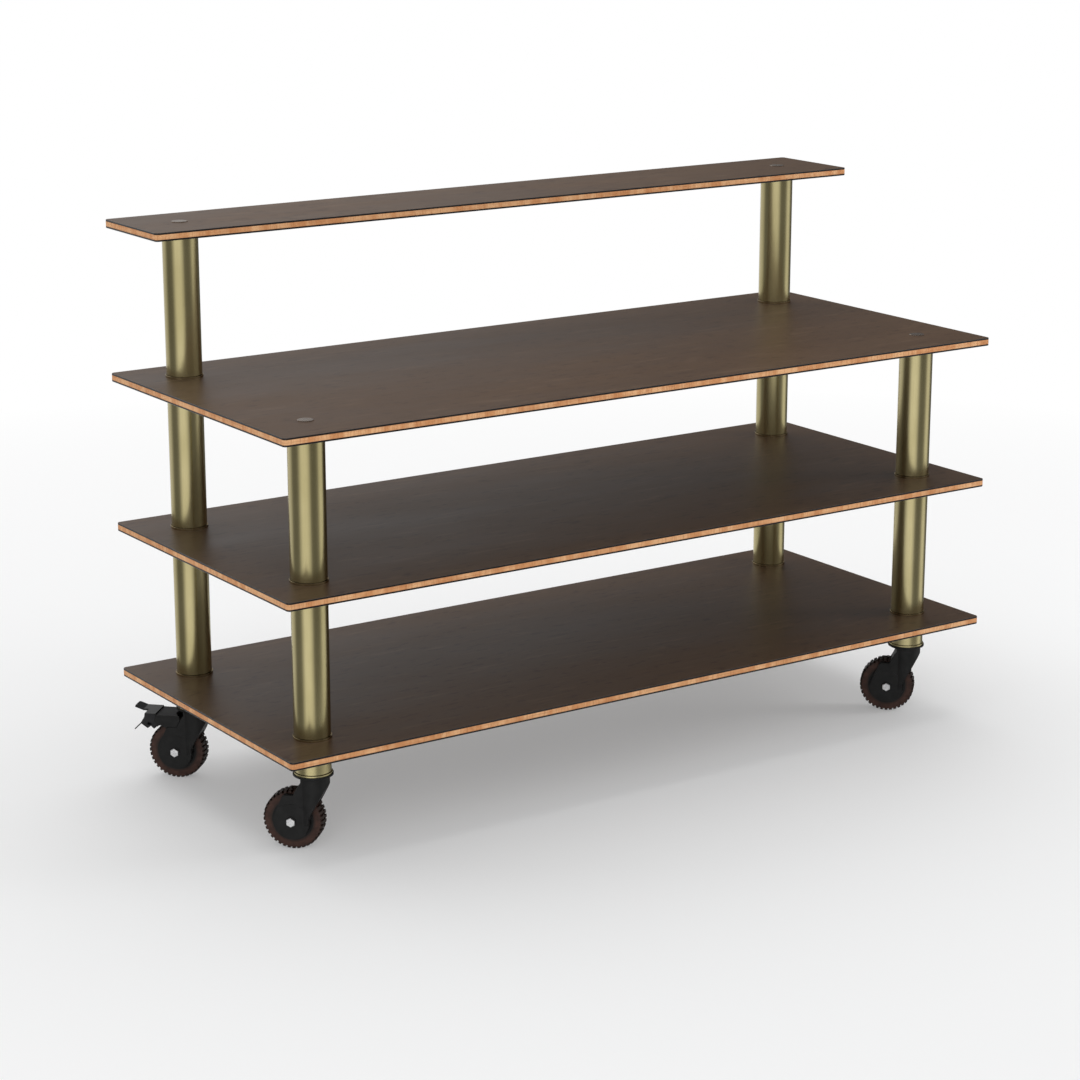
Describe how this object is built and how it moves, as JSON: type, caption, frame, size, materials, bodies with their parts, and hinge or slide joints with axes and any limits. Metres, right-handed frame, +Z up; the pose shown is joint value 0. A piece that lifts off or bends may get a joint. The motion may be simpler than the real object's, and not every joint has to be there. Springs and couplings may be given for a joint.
{
  "type": "modular buffet table",
  "caption": "Mobile buffet table: long laminated shelves stacked on brass tube posts, a narrow riser shelf along the back, on lugged swivel casters with foot brakes.",
  "frame": {"origin": "on the floor under the centre of the table's outline", "axes": "+X along the length to the front view's right, +Y towards the back where the riser stands, +Z up"},
  "size_m": [1.83, 0.76, 1.2319],
  "materials": {
    "shelf_core": "bare cut edge, clear lacquered",
    "shelf_laminate": "dark brown laminate, soft sheen",
    "post_brass": "satin antique brass",
    "cap_bronze": "dark bronze lacquer, satin",
    "fixing_steel": "zinc plated",
    "caster_plastic": "black moulded nylon",
    "brake_plastic": "black moulded nylon, worn grey on top",
    "tyre_rubber": "dark reddish brown rubber",
    "shoe_rubber": "black rubber brake block"
  },
  "bodies": {
    "table": {"shelf_1_core": "shelf_core", "shelf_1_laminates": "shelf_laminate", "shelf_2_core": "shelf_core", "shelf_2_laminates": "shelf_laminate", "shelf_3_core": "shelf_core", "shelf_3_laminates": "shelf_laminate", "shelf_4_core": "shelf_core", "shelf_4_laminates": "shelf_laminate", "front_left_lower_tube": "post_brass", "front_right_lower_tube": "post_brass", "back_left_lower_tube": "post_brass", "back_right_lower_tube": "post_brass", "lower_foot_flanges": "post_brass", "lower_head_plugs": "post_brass", "front_left_upper_tube": "post_brass", "front_right_upper_tube": "post_brass", "back_left_upper_tube": "post_brass", "back_right_upper_tube": "post_brass", "upper_foot_flanges": "post_brass", "upper_head_plugs": "post_brass", "back_left_riser_tube": "post_brass", "back_right_riser_tube": "post_brass", "riser_foot_flanges": "post_brass", "riser_head_plugs": "post_brass", "shelf_1_tie_rods": "fixing_steel", "shelf_2_tie_rods": "fixing_steel", "shelf_3_tie_rods": "fixing_steel", "main_cap_bolts": "cap_bronze", "riser_cap_bolts": "cap_bronze", "caster_stub_tubes": "post_brass", "caster_stub_flanges": "post_brass", "caster_stub_plugs": "post_brass", "caster_stems": "fixing_steel", "swivel_bearing_rings": "caster_plastic"},
    "front_left_caster": {"front_left_fork": "caster_plastic", "front_left_axle_bolt": "fixing_steel"},
    "front_left_wheel": {"front_left_wheel_hub": "caster_plastic", "front_left_tyre": "tyre_rubber"},
    "front_right_caster": {"front_right_fork": "caster_plastic", "front_right_axle_bolt": "fixing_steel"},
    "front_right_wheel": {"front_right_wheel_hub": "caster_plastic", "front_right_tyre": "tyre_rubber"},
    "back_left_caster": {"back_left_fork": "caster_plastic", "back_left_axle_bolt": "fixing_steel", "back_left_brake_housing": "caster_plastic", "back_left_brake_pin": "fixing_steel"},
    "back_left_wheel": {"back_left_wheel_hub": "caster_plastic", "back_left_tyre": "tyre_rubber"},
    "back_left_pedal": {"back_left_brake_pedal": "brake_plastic", "back_left_brake_shoe": "shoe_rubber"},
    "back_right_caster": {"back_right_fork": "caster_plastic", "back_right_axle_bolt": "fixing_steel", "back_right_brake_housing": "caster_plastic", "back_right_brake_pin": "fixing_steel"},
    "back_right_wheel": {"back_right_wheel_hub": "caster_plastic", "back_right_tyre": "tyre_rubber"},
    "back_right_pedal": {"back_right_brake_pedal": "brake_plastic", "back_right_brake_shoe": "shoe_rubber"}
  },
  "joints": [
    {"name": "front_left_swivel", "type": "hinge", "parent": "table", "child": "front_left_caster", "pos_m": [-0.8, -0.26, 0.157], "axis": [0, 0, 1], "continuous": true},
    {"name": "front_left_wheel_spin", "type": "hinge", "parent": "front_left_caster", "child": "front_left_wheel", "pos_m": [-0.82871, -0.23129, 0.0632], "axis": [-0.7071, -0.7071, 0], "continuous": true},
    {"name": "front_right_swivel", "type": "hinge", "parent": "table", "child": "front_right_caster", "pos_m": [0.8, -0.26, 0.157], "axis": [0, 0, 1], "continuous": true},
    {"name": "front_right_wheel_spin", "type": "hinge", "parent": "front_right_caster", "child": "front_right_wheel", "pos_m": [0.77129, -0.23129, 0.0632], "axis": [-0.7071, -0.7071, 0], "continuous": true},
    {"name": "back_left_swivel", "type": "hinge", "parent": "table", "child": "back_left_caster", "pos_m": [-0.8, 0.26, 0.157], "axis": [0, 0, 1], "continuous": true},
    {"name": "back_left_wheel_spin", "type": "hinge", "parent": "back_left_caster", "child": "back_left_wheel", "pos_m": [-0.82871, 0.28871, 0.0632], "axis": [-0.7071, -0.7071, 0], "continuous": true},
    {"name": "back_left_brake_press", "type": "hinge", "parent": "back_left_caster", "child": "back_left_pedal", "pos_m": [-0.85233, 0.31233, 0.1345], "axis": [-0.7071, -0.7071, 0], "range_deg": [0, 10]},
    {"name": "back_right_swivel", "type": "hinge", "parent": "table", "child": "back_right_caster", "pos_m": [0.8, 0.26, 0.157], "axis": [0, 0, 1], "continuous": true},
    {"name": "back_right_wheel_spin", "type": "hinge", "parent": "back_right_caster", "child": "back_right_wheel", "pos_m": [0.77129, 0.28871, 0.0632], "axis": [-0.7071, -0.7071, 0], "continuous": true},
    {"name": "back_right_brake_press", "type": "hinge", "parent": "back_right_caster", "child": "back_right_pedal", "pos_m": [0.74767, 0.31233, 0.1345], "axis": [-0.7071, -0.7071, 0], "range_deg": [0, 10]}
  ]
}
